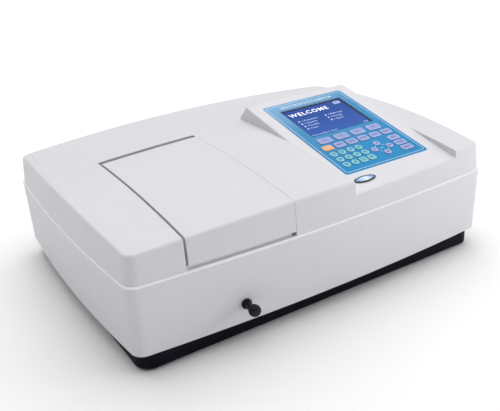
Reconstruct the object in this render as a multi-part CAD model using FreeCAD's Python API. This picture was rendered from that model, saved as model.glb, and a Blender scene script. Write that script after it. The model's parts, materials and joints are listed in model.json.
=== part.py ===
import FreeCAD, Part
import math
import os
from collections import namedtuple
from FreeCAD import Vector

# Bench spectrophotometer, in millimetres: X runs right, Y runs back, Z runs up.
# Heights are measured from the underside of the black base and depths from its
# middle. save() then lifts everything onto the feet and centres it in Y.

# Overall plan: four gently bowed sides that meet at rounded corners
CORNER_X = 304.7
CORNER_Y = 215.9
SIDE_BOW = 10.3
FRONT_BOW = 12.6
CORNER_R = 18.0
WALL = 3.0

# Feet and black base
FOOT_H = 4.0
FOOT_R = 13.0
FOOT_X = 262.0
FOOT_Y = 175.0
FOOT_CHAMFER = 1.0
BASE_X = 297.7
BASE_Y = 209.9
BASE_R = 22.0
BASE_TOP = 26.7
BASE_WALL = 2.5

# Lower housing, with a lip that stands proud of the cover
SEAM_Z = 130.0
HOUSING_DRAFT = 1.5
LIP_DEPTH = 10.0
LIP_CHAMFER = 2.0
COVER_INSET = 2.2
FLANGE_X = 280.0
FLANGE_Y = 192.0

# Top cover: a dome crowned both ways over drafted walls
COVER_DRAFT = 0.065
COVER_TALL = 240.0
DOME_EDGE_Z = 169.8
DOME_HALF_X = 300.0
DOME_HALF_Y = 211.0
CROWN_X = 11.7
CROWN_Y = 12.1
DOME_REACH = 340.0
DOME_SWEEP = 8.0
TOP_EDGE_R = 5.0

# Console: a tilted plane, sunk at the front and raised at the back
CONSOLE_L = 40.0
CONSOLE_R = 243.0
TILT = math.radians(11.37)
CONSOLE_FRONT_Y = -225.0
CONSOLE_FRONT_Z = 160.3
CONSOLE_BACK_Y = 59.0
CONSOLE_FOOT_Y = 92.0
CONSOLE_FOOT_Z = 180.3
CONSOLE_EDGE_R = 2.0
SLOPE_Y = 62.0
SLOPE_Z = CONSOLE_FRONT_Z + (SLOPE_Y - CONSOLE_FRONT_Y) * math.tan(TILT)

# Keypad overlay and display window, in slope distance s from the slope's top
OVERLAY = (60.6, 221.5, 20.0, 245.6)
OVERLAY_R = 5.0
OVERLAY_POCKET = 0.8
OVERLAY_T = 1.0
WINDOW = (81.0, 204.0, 42.4, 134.4)
SCREEN_DEPTH = 1.8
DISPLAY_MARGIN = 7.0
DISPLAY_T = 12.0

# Keys
KEY_TOP = 1.2
KEY_ROUND = 0.5
KEY_GAP = 0.35
KEY_FLANGE = 1.0
KEY_FLANGE_TOP = 3.4
KEY_BOTTOM = 5.0
BOARD_AREA = (64.0, 217.5, 143.0, 238.0)
BOARD_TOP = 7.9
BOARD_T = 1.6
BOARD_POST_R = 2.0
BOARD_POST_X = (67.5, 214.0)
BOARD_POST_S = (150.0, 232.0)
DOME_SWITCH_R = 3.0
DOME_SWITCH_H = 1.7

# Key groups: first key's x and s, pitch, key width and height, corner radius
FUNCTION_KEYS = (91.6, 152.0, 32.5, 25.0, 15.0, 3.0)
MODE_KEYS = (82.0, 172.4, 23.3, 18.5, 13.5, 3.0)
NUMBER_KEYS = (78.6, 192.0, 16.0, 12.5, 12.5, 6.2)
NUMBER_ROW = 15.8
SQUARE_KEY = (13.0, 3.0)
ARROW_X = 159.5
ARROW_S = 208.7
ARROW_SIDE = 15.0
ARROW_ALONG = 13.7
ARROW_KEY = (11.5, 5.7)
COMMAND_KEYS = (196.6, 192.4, 16.0, 21.0, 12.5, 3.0)

# Oval badge below the overlay: centre, half axes of the plate and of its boss
BADGE_X = 78.0
BADGE_S = 265.6
BADGE_PLATE = (19.5, 7.5)
BADGE_BOSS = (16.8, 5.4)
BADGE_T = 1.0
BOSS_T = 0.4

# Lid and the well that it closes
WELL_L = -225.0
WELL_R = -61.5
WELL_BACK = 60.0
LID_L = -221.5
LID_R = -62.0
LID_BACK = 50.0
LID_BOTTOM = 136.5
LID_SKIRT = 12.0
SILL_TOP = 148.0
SILL_GAP = 5.0
SILL_CLEAR = 1.5
HINGE_Y = 46.0
HINGE_Z = 181.0
PIN_R = 2.0
BARREL_R = 4.4
BARREL_LEN = 15.0
RUN_FIT = 0.06

# Sample chamber, carriage and pull rod
CHAMBER_L = -218.0
CHAMBER_R = -69.0
CHAMBER_FRONT = -203.0
CHAMBER_BACK = 38.0
CHAMBER_FLOOR = 39.0
DECK_CLEAR = 0.3
CHAMBER_LEG = (16.0, 20.0, 7.0)
SEAL_T = 3.0
SEAL_W = 5.0
SEAL_ROUND = 8.0
DECK_T = 3.0
BEAM_Y = -46.0
BEAM_Z = 86.0
ROD_X = -146.0
ROD_Z = 55.3
ROD_R = 4.0
ROD_FACE_Y = -224.5
COLLAR_R = 7.5
COLLAR_T = 3.8
COLLAR_ROUND = 1.0
BUSH_R = 6.0
BUSH_BACK = -198.0
KNOB_LEN = 28.0
KNOB_GRIP = 6.0
KNOB_OUTLINE = [(4.3, 5.2), (9, 4.8), (13, 5.7), (18, 7.9), (22, 8.5), (26, 7.3), (KNOB_LEN, 4.4)]
RAIL_R = 3.0
RAIL_OFFSET = 29.0
RAIL_Z = 54.0
CARRIAGE_FRONT = -60.0
CARRIAGE_LEN = 82.0
CARRIAGE_LOW = 47.0
CARRIAGE_DECK = 62.0
CARRIAGE_SIDE = 8.0
CARRIAGE_ROUND = 3.0
CELL_PITCH = 18.0
CELL_COUNT = 4
CELL_SIZE = 12.8
CELL_FLOOR = 71.0
HOLDER_TOP = 105.0
HOLDER_HALF = 19.0
HOLDER_STEP = 4.0
BEAM_SLOT = (3.0, 8.0)
LENS_R = 9.0
LENS_CHAMFER = 0.6

# Connector bay in the back of the lower housing
BAY_X = 150.0
BAY_LOW = 45.0
BAY_HIGH = 115.0
BAY_Y = 218.0
BAY_MID_Z = 80.0
GRILLE_PITCH = 7.0
GRILLE_SLOT = 4.0
GRILLE_EACH_WAY = 3
FAN_X = -95.0
FAN_HALF = 30.0
FAN_T = 15.0
FAN_BORE = 28.0
ROTOR_R = 26.5
HUB_R = 11.0
HUB_PLATE = 2.5
SPINDLE_R = 1.5
SPINDLE_LEN = 8.0
ARM_HALF = 1.5
ARM_T = 2.0
BLADES = 7
BLADE_HALF = 0.6
BLADE_ANGLE = 35.0
ROTOR_GAP = 3.5
ROTOR_SPARE = 5.0
SCREW_X = 142.0
SCREW_INSET = 8.0
SCREW_HEAD = (3.4, 2.2)
SCREW_SHANK = (1.7, 9.0)
CROSS_HALF = 2.0
CROSS_SLOT = 0.4
CROSS_DEPTH = 1.1

# Power inlet and switch in the bay: half width, half height, depth behind it
INLET_X = 110.0
INLET_BODY = (14.0, 10.0)
INLET_MOUTH = (12.0, 8.0)
SWITCH_X = 78.0
SWITCH_BODY = (8.0, 12.0)
SWITCH_MOUTH = (7.0, 11.0)
ENTRY_DEPTH = 20.0
ENTRY_BACK = 3.0
FLANGE_T = 3.0
FLANGE_HALF_Z = 14.0
FLANGE_END = 6.0
BLADE_SIZE = (1.0, 2.5)
BLADE_SPREAD = 7.0
BLADE_DROP = 2.0
ROCKER_HALF = 6.4
ROCKER_OUTLINE = [(-12, -4), (-3, -10), (3.4, -9.5), (2.2, 0), (3.4, 9.5), (-3, 10), (-12, 4)]
ROCKER_PIVOT = 5.0
PIVOT_R = 1.2
PIVOT_HALF = 7.8
SWITCH_TILT = 10.0

# Serial and USB ports in the bay: half width and half height
SERIAL_X = 20.0
SERIAL_HOLE = (10.0, 6.0)
SERIAL_PLATE = (15.5, 6.3)
SERIAL_SHELL = (9.0, 4.4)
SERIAL_MOUTH = (8.2, 3.7)
SERIAL_PROUD = 6.5
SERIAL_BEHIND = 10.0
JACK_NUT = (12.5, 2.4, 5.5)
USB_X = -25.0
USB_HOLE = (6.5, 6.0)
USB_BODY = (6.4, 5.8)
USB_MOUTH = (4.3, 4.0)
USB_PROUD = 1.2
USB_BEHIND = 14.0
USB_DEPTH = 9.0
USB_TONGUE = (2.8, 1.0, 3.0)

# Optical bench: monochromator case, its slits, mirrors and grating, and the lamp
CASE = (-50.0, 130.0, -80.0, 130.0)
CASE_TOP = 112.0
CASE_WALL = 5.0
CASE_ROUND = 5.0
CASE_INNER_ROUND = 3.0
SLIT_R = 6.0
SLIT_REACH = 20.0
MIRRORS = [(-20, 100), (100, 100), (-20, 0)]
MIRROR_HALF = 18.0
MIRROR_TOP = 105.0
GRATING_X = 50.0
GRATING_Y = 50.0
GRATING_HALF = 16.0
GRATING_H = 38.0
PLATE_HALF = 3.0
TURNTABLE = (20.0, 6.0)
POST_R = 12.0
POST_H = 40.0
AXLE_R = 4.0
AXLE_LEN = 22.0
LAMP_X = 188.0
LAMP_Y = 85.0
LAMP_CASE_X = (150.0, 225.0)
LAMP_CASE_HALF = 40.0
LAMP_CASE_TOP = 108.0
LAMP_FOOT = (16.0, 50.0)
LAMP_CAP = (9.0, 14.0)
LAMP_BULB = (6.0, 24.0)
BULB_ROUND = 5.0

# Detector beside the chamber's left wall
DETECTOR_LEN = 38.0
DETECTOR_HALF = (22.0, 24.0)
SNOUT_LEN = 12.0
SNOUT_R = 11.0
DETECTOR_BORE = (5.0, 31.0)
LEG_HALF = 12.0
LEG_INSET = 4.0

# Circuit boards on the base: area, thickness, stand-offs and what they carry
PCB_T = 2.0
MAIN_BOARD = (-45.0, 130.0, -190.0, -90.0)
MAIN_POST = (3.0, 10.0)
CHIPS = [(-15, -160, 26), (35, -150, 34), (85, -165, 22), (90, -120, 18), (0, -115, 16)]
CHIP_T = 3.0
POWER_BOARD = (160.0, 270.0, -185.0, 10.0)
POWER_POST = (4.0, 8.0)
POWER_POST_INSET = 8.0
TRANSFORMER = (175.0, 225.0, -175.0, -115.0, 45.0)
HEAT_SINK = (235.0, 262.0, -175.0, -60.0, 40.0)
CAPACITOR_X = 195.0
CAPACITOR_YS = (-90, -60, -30)
CAPACITOR = (11.0, 36.0)

# The knob reaches further forward than the back edge does backward
SHIFT_Y = (KNOB_LEN - ROD_FACE_Y - CORNER_Y - FRONT_BOW) / 2
EPS = 1.0

Key = namedtuple("Key", "name x s width height corner")


def box(x0, x1, y0, y1, z0, z1):
    return Part.makeBox(x1 - x0, y1 - y0, z1 - z0, Vector(x0, y0, z0))


def rod(x, y, z, direction, radius, length):
    return Part.makeCylinder(radius, length, Vector(x, y, z), Vector(*direction))


def upright_edges(solid):
    tall = solid.BoundBox.ZLength / 2
    return [e for e in solid.Edges if e.BoundBox.ZLength > tall]


def level_edges(solid, z):
    flat = [e for e in solid.Edges if e.BoundBox.ZLength < 0.01]
    return [e for e in flat if abs(e.BoundBox.ZMin - z) < 0.01]


def round_box(x0, x1, y0, y1, z0, z1, radius):
    block = box(x0, x1, y0, y1, z0, z1)
    return block.makeFillet(radius, upright_edges(block))


def prism_yz(points, x0, x1):
    closed = points + points[:1]
    wire = Part.makePolygon([Vector(x0, y, z) for y, z in closed])
    return Part.Face(wire).extrude(Vector(x1 - x0, 0, 0))


def fuse(shapes):
    return shapes[0].multiFuse(shapes[1:]).removeSplitter()


def save(name, shape):
    placed = shape.copy()
    placed.translate(Vector(0, SHIFT_Y, FOOT_H))
    placed.exportStep("parts/" + name + ".step")


def bowed_wire(inset, z):
    cx = CORNER_X - inset
    cy = CORNER_Y - inset
    corners = [(cx, -cy), (cx, cy), (-cx, cy), (-cx, -cy)]
    middles = [(cx + SIDE_BOW, 0), (0, cy + FRONT_BOW), (-cx - SIDE_BOW, 0), (0, -cy - FRONT_BOW)]
    ends = corners[1:] + corners[:1]
    sides = []
    for start, middle, end in zip(corners, middles, ends):
        arc = Part.Arc(Vector(*start, z), Vector(*middle, z), Vector(*end, z))
        sides.append(arc.toShape())
    return Part.Wire(sides)


def bowed_block(z0, inset0, z1, inset1, radius):
    loft = Part.makeLoft([bowed_wire(inset0, z0), bowed_wire(inset1, z1)], True, True)
    return loft.makeFillet(radius, upright_edges(loft))


def dome(drop):
    """Solid under the crowned top: an arc across, revolved about a far X axis."""
    top = DOME_EDGE_Z + CROWN_X + CROWN_Y - drop
    across = (DOME_HALF_X ** 2 + CROWN_X ** 2) / (2 * CROWN_X)
    along = (DOME_HALF_Y ** 2 + CROWN_Y ** 2) / (2 * CROWN_Y)
    edge = top - across + math.sqrt(across ** 2 - DOME_REACH ** 2)
    low = BASE_TOP
    left = Vector(-DOME_REACH, 0, edge)
    right = Vector(DOME_REACH, 0, edge)
    crown = Part.Arc(left, Vector(0, 0, top), right).toShape()
    rest = Part.makePolygon([right, Vector(DOME_REACH, 0, low), Vector(-DOME_REACH, 0, low), left])
    face = Part.Face(Part.Wire([crown] + rest.Edges))
    centre = Vector(0, 0, top - along)
    face.rotate(centre, Vector(1, 0, 0), -DOME_SWEEP)
    return face.revolve(centre, Vector(1, 0, 0), 2 * DOME_SWEEP)


def console_z(y):
    return CONSOLE_FRONT_Z + (y - CONSOLE_FRONT_Y) * math.tan(TILT)


def cover_body(inset, bottom):
    """The cover's outer form, or the hollow inside it when inset is the wall."""
    base_inset = COVER_INSET + inset
    rise = COVER_DRAFT * (COVER_TALL - bottom)
    walls = bowed_block(bottom, base_inset, COVER_TALL, base_inset + rise, CORNER_R - inset)
    crowned = walls.common(dome(inset))
    if inset == 0:
        top = max(crowned.Faces, key=lambda f: f.CenterOfMass.z)
        crowned = crowned.makeFillet(TOP_EDGE_R, top.OuterWire.Edges)
    drop = inset / math.cos(TILT)
    front = -CORNER_Y - 3 * FRONT_BOW
    front_z = console_z(front) - drop
    back_y = CONSOLE_BACK_Y - inset
    back_z = console_z(back_y) - drop
    foot_y = CONSOLE_FOOT_Y - inset
    above = [(front, front_z), (back_y, back_z), (back_y, COVER_TALL + EPS), (front, COVER_TALL + EPS)]
    wedge = [(front, bottom), (front, front_z), (back_y, back_z), (foot_y, CONSOLE_FOOT_Z), (foot_y, bottom)]
    notch = prism_yz(above, CONSOLE_L - inset, CONSOLE_R + inset)
    raised = prism_yz(wedge, CONSOLE_L + inset, CONSOLE_R - inset).common(walls)
    body = crowned.cut(notch).fuse(raised).removeSplitter()
    if inset == 0:
        body = body.makeFillet(CONSOLE_EDGE_R, console_edges(body))
    return body


def console_edges(body):
    """The raised wedge's outer edges, and the front edge of the sunk part."""
    top = console_z(CONSOLE_BACK_Y) - EPS
    front = console_z(-CORNER_Y - FRONT_BOW) + 3 * EPS
    edges = [e for e in body.Edges if e.BoundBox.ZMax > top]
    sill = [e for e in body.Edges if SEAM_Z + EPS < e.BoundBox.ZMin and e.BoundBox.ZMax < front]
    return edges + sill


def on_console(shape):
    """Lays a shape built on the XY plane onto the console, up the slope being +Y."""
    placed = shape.copy()
    placed.rotate(Vector(0, 0, 0), Vector(1, 0, 0), math.degrees(TILT))
    placed.translate(Vector(0, SLOPE_Y, SLOPE_Z))
    return placed


def slope_box(area, grow, w0, w1, radius):
    x0, x1, s0, s1 = area
    return round_box(x0 - grow, x1 + grow, -s1 - grow, -s0 + grow, w0, w1, radius)


def key_row(names, group):
    x, s, pitch, width, height, corner = group
    return [Key("key_" + name, x + pitch * i, s, width, height, corner) for i, name in enumerate(names)]


def number_keys():
    x, s, pitch, width, height, corner = NUMBER_KEYS
    keys = []
    for i, name in enumerate("1 2 3 4 5 6 7 8 9 0 point sign".split()):
        size, edge = (width, corner) if name.isdigit() else SQUARE_KEY
        row, column = divmod(i, 4)
        keys.append(Key("key_" + name, x + pitch * column, s + NUMBER_ROW * row, size, size, edge))
    return keys


def arrow_keys():
    size, corner = ARROW_KEY
    places = [("up", 0, -ARROW_ALONG), ("left", -ARROW_SIDE, 0)]
    places += [("right", ARROW_SIDE, 0), ("down", 0, ARROW_ALONG)]
    return [Key("key_" + name, ARROW_X + dx, ARROW_S + ds, size, size, corner) for name, dx, ds in places]


def command_keys():
    x, s, pitch, width, height, corner = COMMAND_KEYS
    names = ["key_escape", "key_clear", "key_enter"]
    return [Key(name, x, s + pitch * i, width, height, corner) for i, name in enumerate(names)]


def all_keys():
    keys = key_row(["f1", "f2", "f3", "f4"], FUNCTION_KEYS)
    keys += key_row(["start", "mode", "setup", "store", "recall", "print"], MODE_KEYS)
    return keys + number_keys() + arrow_keys() + command_keys()


def key_block(key, grow, w0, w1):
    half_x, half_s = key.width / 2, key.height / 2
    area = (key.x - half_x, key.x + half_x, key.s - half_s, key.s + half_s)
    return slope_box(area, grow, w0, w1, key.corner + grow)


def key_cap(key):
    cap = key_block(key, 0, -KEY_BOTTOM, KEY_TOP)
    cap = cap.makeFillet(KEY_ROUND, level_edges(cap, KEY_TOP))
    flange = key_block(key, KEY_FLANGE, -KEY_BOTTOM, -KEY_FLANGE_TOP)
    return on_console(cap.fuse(flange).removeSplitter())


def base_tray():
    outer = round_box(-BASE_X, BASE_X, -BASE_Y, BASE_Y, 0, BASE_TOP, BASE_R)
    x, y = BASE_X - BASE_WALL, BASE_Y - BASE_WALL
    inner = round_box(-x, x, -y, y, BASE_WALL, BASE_TOP + EPS, BASE_R - BASE_WALL)
    return outer.cut(inner)


def rubber_feet():
    feet = []
    for x in (-FOOT_X, FOOT_X):
        for y in (-FOOT_Y, FOOT_Y):
            foot = rod(x, y, -FOOT_H, (0, 0, 1), FOOT_R, FOOT_H)
            feet.append(foot.makeChamfer(FOOT_CHAMFER, level_edges(foot, -FOOT_H)))
    return Part.makeCompound(feet)


def bay_screw(x, z):
    head_r, head_h = SCREW_HEAD
    shank_r, shank = SCREW_SHANK
    head = rod(x, BAY_Y, z, (0, 1, 0), head_r, head_h)
    screw = head.fuse(rod(x, BAY_Y - shank, z, (0, 1, 0), shank_r, shank))
    y0, y1 = BAY_Y + head_h - CROSS_DEPTH, BAY_Y + head_h + EPS
    across = box(x - CROSS_HALF, x + CROSS_HALF, y0, y1, z - CROSS_SLOT, z + CROSS_SLOT)
    upright = box(x - CROSS_SLOT, x + CROSS_SLOT, y0, y1, z - CROSS_HALF, z + CROSS_HALF)
    return screw.cut(across.fuse(upright)).removeSplitter()


def bay_screws():
    heights = (BAY_LOW + SCREW_INSET, BAY_HIGH - SCREW_INSET)
    return [bay_screw(x, z) for x in (-SCREW_X, SCREW_X) for z in heights]


def bay_block(x, half, y0, y1):
    """Box about a centre at x in the bay, half being its half width and height."""
    return box(x - half[0], x + half[0], y0, y1, BAY_MID_Z - half[1], BAY_MID_Z + half[1])


def bay_hole(x, half):
    return bay_block(x, half, BAY_Y - WALL - EPS, BAY_Y + EPS)


def grille_slots():
    slots = []
    for i in range(-GRILLE_EACH_WAY, GRILLE_EACH_WAY + 1):
        z = BAY_MID_Z + GRILLE_PITCH * i
        half = math.sqrt(FAN_BORE ** 2 - (GRILLE_PITCH * i) ** 2) - EPS
        y0, y1 = BAY_Y - WALL - EPS, BAY_Y + EPS
        slots.append(box(FAN_X - half, FAN_X + half, y0, y1, z - GRILLE_SLOT / 2, z + GRILLE_SLOT / 2))
    return slots


def lower_housing():
    outer = bowed_block(BASE_TOP, HOUSING_DRAFT, SEAM_Z, 0, CORNER_R)
    spread = LIP_CHAMFER + BASE_TOP - SEAM_Z
    outer = outer.common(bowed_block(BASE_TOP, spread, SEAM_Z, LIP_CHAMFER, CORNER_R))
    inner_r = CORNER_R - WALL
    hollow = bowed_block(BASE_TOP + WALL, HOUSING_DRAFT + WALL, SEAM_Z - WALL, WALL, inner_r)
    mouth = bowed_block(SEAM_Z - WALL - EPS, LIP_DEPTH, SEAM_Z + EPS, LIP_DEPTH, inner_r)
    foot_hole = round_box(-FLANGE_X, FLANGE_X, -FLANGE_Y, FLANGE_Y, BASE_TOP - EPS,
                          BASE_TOP + WALL + EPS, inner_r)
    shell = outer.cut(hollow).cut(mouth).cut(foot_hole)
    back = CORNER_Y + 2 * FRONT_BOW
    bay = box(-BAY_X - WALL, BAY_X + WALL, BAY_Y - WALL, back, BAY_LOW - WALL, BAY_HIGH + WALL)
    shell = shell.fuse(bay.common(outer))
    shell = shell.cut(box(-BAY_X, BAY_X, BAY_Y, back, BAY_LOW, BAY_HIGH))
    cuts = [bushing_body(), bay_hole(INLET_X, INLET_BODY), bay_hole(SWITCH_X, SWITCH_BODY)]
    cuts += [bay_hole(SERIAL_X, SERIAL_HOLE), bay_hole(USB_X, USB_HOLE)]
    cuts += bay_screws() + grille_slots()
    for cut in cuts:
        shell = shell.cut(cut)
    return shell.removeSplitter()


def sill():
    """Bowed strip inside the lid's front, notched to pass under the lid's left side."""
    inset = COVER_INSET + WALL + SILL_CLEAR
    rise = COVER_DRAFT * (SILL_TOP - SEAM_Z)
    outer = bowed_block(SEAM_Z, inset, SILL_TOP, inset + rise, CORNER_R - WALL)
    band = outer.cut(bowed_block(SEAM_Z, inset + WALL, SILL_TOP, inset + WALL + rise, CORNER_R - 2 * WALL))
    strip = band.common(box(WELL_L - EPS, WELL_R - SILL_GAP, -CORNER_Y - FRONT_BOW, 0, SEAM_Z, SILL_TOP))
    side = LID_L + WALL + SILL_CLEAR
    front = -CORNER_Y - FRONT_BOW
    return strip.cut(box(WELL_L, side, front, 0, LID_BOTTOM - SILL_CLEAR, SILL_TOP))


def top_cover():
    outer = cover_body(0, SEAM_Z)
    shell = outer.cut(cover_body(WALL, SEAM_Z - EPS))
    front = -CORNER_Y - 3 * FRONT_BOW
    curb = box(WELL_L - WALL, WELL_R + WALL, front, WELL_BACK + WALL, SEAM_Z, COVER_TALL)
    shell = shell.fuse(curb.common(outer))
    shell = shell.cut(box(WELL_L, WELL_R, front, WELL_BACK, SEAM_Z - EPS, COVER_TALL))
    shell = shell.fuse(sill())
    cuts = [on_console(slope_box(OVERLAY, 0, -OVERLAY_POCKET, EPS, OVERLAY_R))]
    cuts.append(on_console(slope_box(WINDOW, 0, -2 * WALL, EPS, 1.0)))
    cuts += [on_console(key_block(key, KEY_GAP, -2 * WALL, EPS)) for key in all_keys()]
    cuts += pins()
    for cut in cuts:
        shell = shell.cut(cut)
    return shell.removeSplitter()


def keypad_overlay():
    film = slope_box(OVERLAY, 0, -OVERLAY_POCKET, OVERLAY_T - OVERLAY_POCKET, OVERLAY_R)
    film = film.cut(slope_box(WINDOW, 0, -2 * WALL, 2 * EPS, 1.0))
    for key in all_keys():
        film = film.cut(key_block(key, KEY_GAP, -2 * WALL, 2 * EPS))
    return on_console(film)


def lcd_module():
    body = slope_box(WINDOW, DISPLAY_MARGIN, -WALL - DISPLAY_T, -WALL, 1.0)
    screen = slope_box(WINDOW, -0.2, -WALL, -SCREEN_DEPTH, 1.0)
    return on_console(body.fuse(screen).removeSplitter())


def keypad_board():
    parts = [slope_box(BOARD_AREA, 0, -BOARD_TOP - BOARD_T, -BOARD_TOP, 1.0)]
    for key in all_keys():
        parts.append(rod(key.x, -key.s, -BOARD_TOP, (0, 0, 1), DOME_SWITCH_R, DOME_SWITCH_H))
    for x in BOARD_POST_X:
        for s in BOARD_POST_S:
            parts.append(rod(x, -s, -BOARD_TOP, (0, 0, 1), BOARD_POST_R, BOARD_TOP - WALL))
    return on_console(fuse(parts))


def oval(half, w0, w1):
    ring = Part.Ellipse(Vector(BADGE_X, -BADGE_S, w0), *half).toShape()
    return Part.Face(Part.Wire([ring])).extrude(Vector(0, 0, w1 - w0))


def badge():
    plate = oval(BADGE_PLATE, 0, BADGE_T)
    return on_console(plate.fuse(oval(BADGE_BOSS, BADGE_T, BADGE_T + BOSS_T)))


def barrels(radius, grow):
    left = rod(LID_L - grow, HINGE_Y, HINGE_Z, (1, 0, 0), radius, BARREL_LEN + grow)
    right = rod(LID_R + grow, HINGE_Y, HINGE_Z, (-1, 0, 0), radius, BARREL_LEN + grow)
    return [left, right]


def pins():
    left = rod(WELL_L - WALL, HINGE_Y, HINGE_Z, (1, 0, 0), PIN_R, LID_L + BARREL_LEN - WELL_L + WALL)
    right = rod(WELL_R + WALL, HINGE_Y, HINGE_Z, (-1, 0, 0), PIN_R, WELL_R + WALL + BARREL_LEN - LID_R)
    return [left, right]


def lid():
    outer = cover_body(0, SEAM_Z)
    front = -CORNER_Y - 3 * FRONT_BOW
    slab = box(LID_L, LID_R, front, LID_BACK, LID_BOTTOM, COVER_TALL)
    skin = outer.cut(cover_body(WALL, SEAM_Z - EPS)).common(slab)
    lowered = outer.copy()
    lowered.translate(Vector(0, LID_SKIRT, -LID_SKIRT))
    rim = outer.cut(lowered)
    sides = [box(LID_L, LID_L + WALL, front, LID_BACK, LID_BOTTOM, COVER_TALL)]
    sides.append(box(LID_R - WALL, LID_R, front, LID_BACK, LID_BOTTOM, COVER_TALL))
    sides.append(box(LID_L, LID_R, LID_BACK - WALL, LID_BACK, LID_BOTTOM, COVER_TALL))
    shape = skin
    for side in sides:
        shape = shape.fuse(side.common(rim))
    for barrel in barrels(BARREL_R, 0):
        shape = shape.fuse(barrel)
    for bore in barrels(PIN_R + RUN_FIT, EPS):
        shape = shape.cut(bore)
    return shape.removeSplitter()


def bushing_body():
    collar = rod(ROD_X, ROD_FACE_Y - COLLAR_T, ROD_Z, (0, 1, 0), COLLAR_R, COLLAR_T)
    collar = collar.makeFillet(COLLAR_ROUND, front_edges(collar))
    barrel = rod(ROD_X, ROD_FACE_Y, ROD_Z, (0, 1, 0), BUSH_R, BUSH_BACK - ROD_FACE_Y)
    return collar.fuse(barrel)


def front_edges(solid):
    y = solid.BoundBox.YMin
    return [e for e in solid.Edges if e.BoundBox.YMax < y + 0.01]


def rod_bushing():
    start = ROD_FACE_Y - 2 * COLLAR_T
    bore = rod(ROD_X, start, ROD_Z, (0, 1, 0), ROD_R + RUN_FIT, CHAMBER_BACK - start)
    return bushing_body().cut(bore)


def pull_rod():
    start = ROD_FACE_Y - KNOB_LEN + KNOB_GRIP
    return rod(ROD_X, start, ROD_Z, (0, 1, 0), ROD_R, CARRIAGE_FRONT - start)


def pull_knob():
    points = [Vector(ROD_X + r, ROD_FACE_Y - d, ROD_Z) for d, r in KNOB_OUTLINE]
    curve = Part.BSplineCurve()
    curve.interpolate(points)
    axis_start = Vector(ROD_X, points[0].y, ROD_Z)
    axis_end = Vector(ROD_X, points[-1].y, ROD_Z)
    rest = Part.makePolygon([points[-1], axis_end, axis_start, points[0]])
    face = Part.Face(Part.Wire([curve.toShape()] + rest.Edges))
    knob = face.revolve(axis_start, Vector(0, 1, 0), 360)
    return knob.cut(pull_rod())


def rail_xs():
    return (ROD_X - RAIL_OFFSET, ROD_X + RAIL_OFFSET)


def carriage_rails():
    length = CHAMBER_BACK - CHAMBER_FRONT
    return [rod(x, CHAMBER_FRONT, RAIL_Z, (0, 1, 0), RAIL_R, length) for x in rail_xs()]


def cell_carriage():
    y0, y1 = CARRIAGE_FRONT, CARRIAGE_FRONT + CARRIAGE_LEN
    half = RAIL_OFFSET + CARRIAGE_SIDE
    slider = round_box(ROD_X - half, ROD_X + half, y0, y1, CARRIAGE_LOW, CARRIAGE_DECK, CARRIAGE_ROUND)
    holder = box(ROD_X - HOLDER_HALF, ROD_X + HOLDER_HALF, y0 + HOLDER_STEP, y1 - HOLDER_STEP,
                 CARRIAGE_DECK, HOLDER_TOP)
    shape = fuse([slider, holder])
    for x in rail_xs():
        shape = shape.cut(rod(x, y0 - EPS, RAIL_Z, (0, 1, 0), RAIL_R + RUN_FIT, CARRIAGE_LEN + 2 * EPS))
    h = CELL_SIZE / 2
    slot_y, slot_z = BEAM_SLOT
    reach = HOLDER_HALF + EPS
    for i in range(CELL_COUNT):
        y = BEAM_Y + CELL_PITCH * i
        shape = shape.cut(box(ROD_X - h, ROD_X + h, y - h, y + h, CELL_FLOOR, HOLDER_TOP + EPS))
        shape = shape.cut(box(ROD_X - reach, ROD_X + reach, y - slot_y, y + slot_y,
                              BEAM_Z - slot_z, BEAM_Z + slot_z))
    return shape.removeSplitter()


def chamber_deck():
    """Flat rim around the chamber's mouth, its front following the housing's lip."""
    inset = LIP_DEPTH + DECK_CLEAR
    low = SEAM_Z - DECK_T
    deck = box(WELL_L - WALL, WELL_R + WALL, -CORNER_Y - FRONT_BOW, WELL_BACK + WALL, low, SEAM_Z)
    return deck.common(bowed_block(low - EPS, inset, SEAM_Z + EPS, inset, CORNER_R - WALL))


def sample_chamber():
    outer = box(CHAMBER_L, CHAMBER_R, CHAMBER_FRONT, CHAMBER_BACK, CHAMBER_FLOOR, SEAM_Z)
    inner = box(CHAMBER_L + WALL, CHAMBER_R - WALL, CHAMBER_FRONT + WALL, CHAMBER_BACK - WALL,
                CHAMBER_FLOOR + WALL, SEAM_Z + EPS)
    parts = [outer, chamber_deck()]
    leg_x, leg_y, leg_r = CHAMBER_LEG
    for x in (CHAMBER_L + leg_x, CHAMBER_R - leg_x):
        for y in (CHAMBER_FRONT + leg_y, CHAMBER_BACK - leg_y):
            parts.append(rod(x, y, BASE_WALL, (0, 0, 1), leg_r, CHAMBER_FLOOR - BASE_WALL))
    shape = fuse(parts).cut(inner)
    shape = shape.cut(rod(ROD_X, CHAMBER_FRONT - EPS, ROD_Z, (0, 1, 0), BUSH_R, WALL + 2 * EPS))
    for rail in carriage_rails():
        shape = shape.cut(rail)
    across = CHAMBER_R - CHAMBER_L + 2 * EPS
    beam = rod(CHAMBER_L - EPS, BEAM_Y, BEAM_Z, (1, 0, 0), LENS_R, across)
    return shape.cut(beam).removeSplitter()


def chamber_seal():
    outer = round_box(CHAMBER_L, CHAMBER_R, CHAMBER_FRONT, CHAMBER_BACK, SEAM_Z, SEAM_Z + SEAL_T, SEAL_ROUND)
    inner = round_box(CHAMBER_L + SEAL_W, CHAMBER_R - SEAL_W, CHAMBER_FRONT + SEAL_W, CHAMBER_BACK - SEAL_W,
                      SEAM_Z - EPS, SEAM_Z + SEAL_T + EPS, SEAL_ROUND - WALL)
    return outer.cut(inner)


def beam_windows():
    lenses = []
    for x in (CHAMBER_L, CHAMBER_R - WALL):
        lens = rod(x, BEAM_Y, BEAM_Z, (1, 0, 0), LENS_R, WALL)
        rims = [e for e in lens.Edges if e.Length > 2 * LENS_R]
        lenses.append(lens.makeChamfer(LENS_CHAMFER, rims))
    return lenses


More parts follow.
